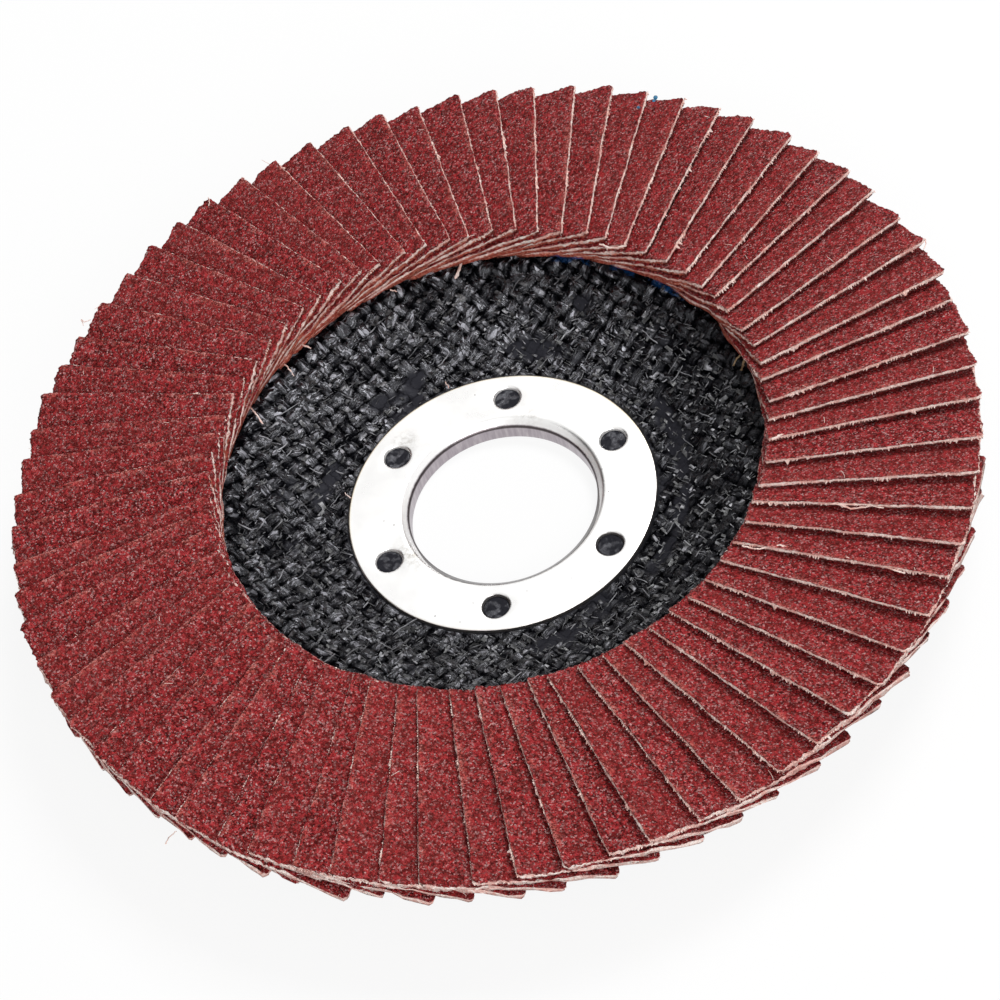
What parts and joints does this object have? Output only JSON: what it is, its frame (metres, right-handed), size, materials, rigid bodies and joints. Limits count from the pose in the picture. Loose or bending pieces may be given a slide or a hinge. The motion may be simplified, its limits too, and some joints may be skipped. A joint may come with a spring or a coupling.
{
  "type": "flap disc",
  "caption": "Flat abrasive flap disc for a small angle grinder: overlapping abrasive-cloth flaps glued in a ring to a dished glass-fibre plate with a steel arbor ring.",
  "frame": {"origin": "on the spindle axis, at the back face of the hub, on which the disc lies", "axes": "+Z along the spindle axis towards the abrasive side; +X and +Y across the disc"},
  "size_m": [0.1118, 0.1118, 0.0132],
  "materials": {
    "ring_steel": "bright zinc-plated pressed steel",
    "plate_resin": "black phenolic resin over woven glass mesh, semi-gloss",
    "adhesive": "dark cured epoxy",
    "abrasive_cloth": "red-brown coated abrasive cloth with pale cut edges"
  },
  "bodies": {
    "root": {"arbor_ring": "ring_steel", "backing_plate": "plate_resin", "adhesive_bed": "adhesive", "flap_trio_01": "abrasive_cloth", "flap_trio_02": "abrasive_cloth", "flap_trio_03": "abrasive_cloth", "flap_trio_04": "abrasive_cloth", "flap_trio_05": "abrasive_cloth", "flap_trio_06": "abrasive_cloth", "flap_trio_07": "abrasive_cloth", "flap_trio_08": "abrasive_cloth", "flap_trio_09": "abrasive_cloth", "flap_trio_10": "abrasive_cloth", "flap_trio_11": "abrasive_cloth", "flap_trio_12": "abrasive_cloth", "flap_trio_13": "abrasive_cloth", "flap_trio_14": "abrasive_cloth", "flap_trio_15": "abrasive_cloth", "flap_trio_16": "abrasive_cloth", "flap_trio_17": "abrasive_cloth", "flap_trio_18": "abrasive_cloth", "flap_trio_19": "abrasive_cloth", "flap_trio_20": "abrasive_cloth", "flap_trio_21": "abrasive_cloth", "flap_trio_22": "abrasive_cloth", "flap_trio_23": "abrasive_cloth", "flap_trio_24": "abrasive_cloth"}
  },
  "joints": []
}
